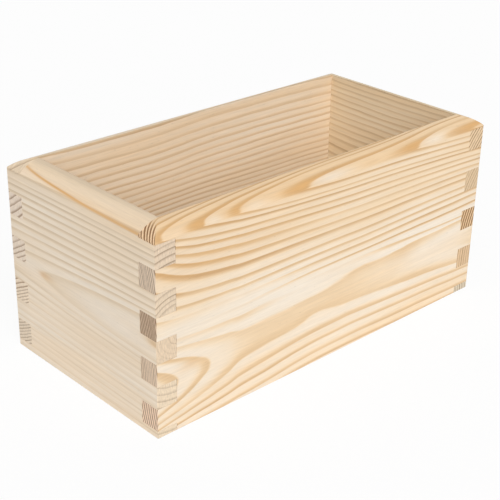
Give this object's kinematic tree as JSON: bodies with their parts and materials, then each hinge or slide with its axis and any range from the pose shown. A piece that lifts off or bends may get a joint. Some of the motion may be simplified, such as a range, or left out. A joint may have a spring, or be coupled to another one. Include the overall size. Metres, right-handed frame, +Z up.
{
  "type": "drawer organizer box",
  "caption": "Open-topped pine box with finger-jointed corners, a rounded outer rim and a plywood bottom held in a groove.",
  "frame": {"origin": "centre of the footprint, on the surface that the box stands on", "axes": "+Z up, +X along the length, the front board faces -Y and the left board faces -X"},
  "size_m": [0.24, 0.12, 0.11],
  "materials": {
    "pine": "sanded, untreated",
    "plywood": "sanded, untreated"
  },
  "bodies": {
    "root": {"front_board": "pine", "back_board": "pine", "left_board": "pine", "right_board": "pine", "bottom_panel": "plywood"}
  },
  "joints": []
}
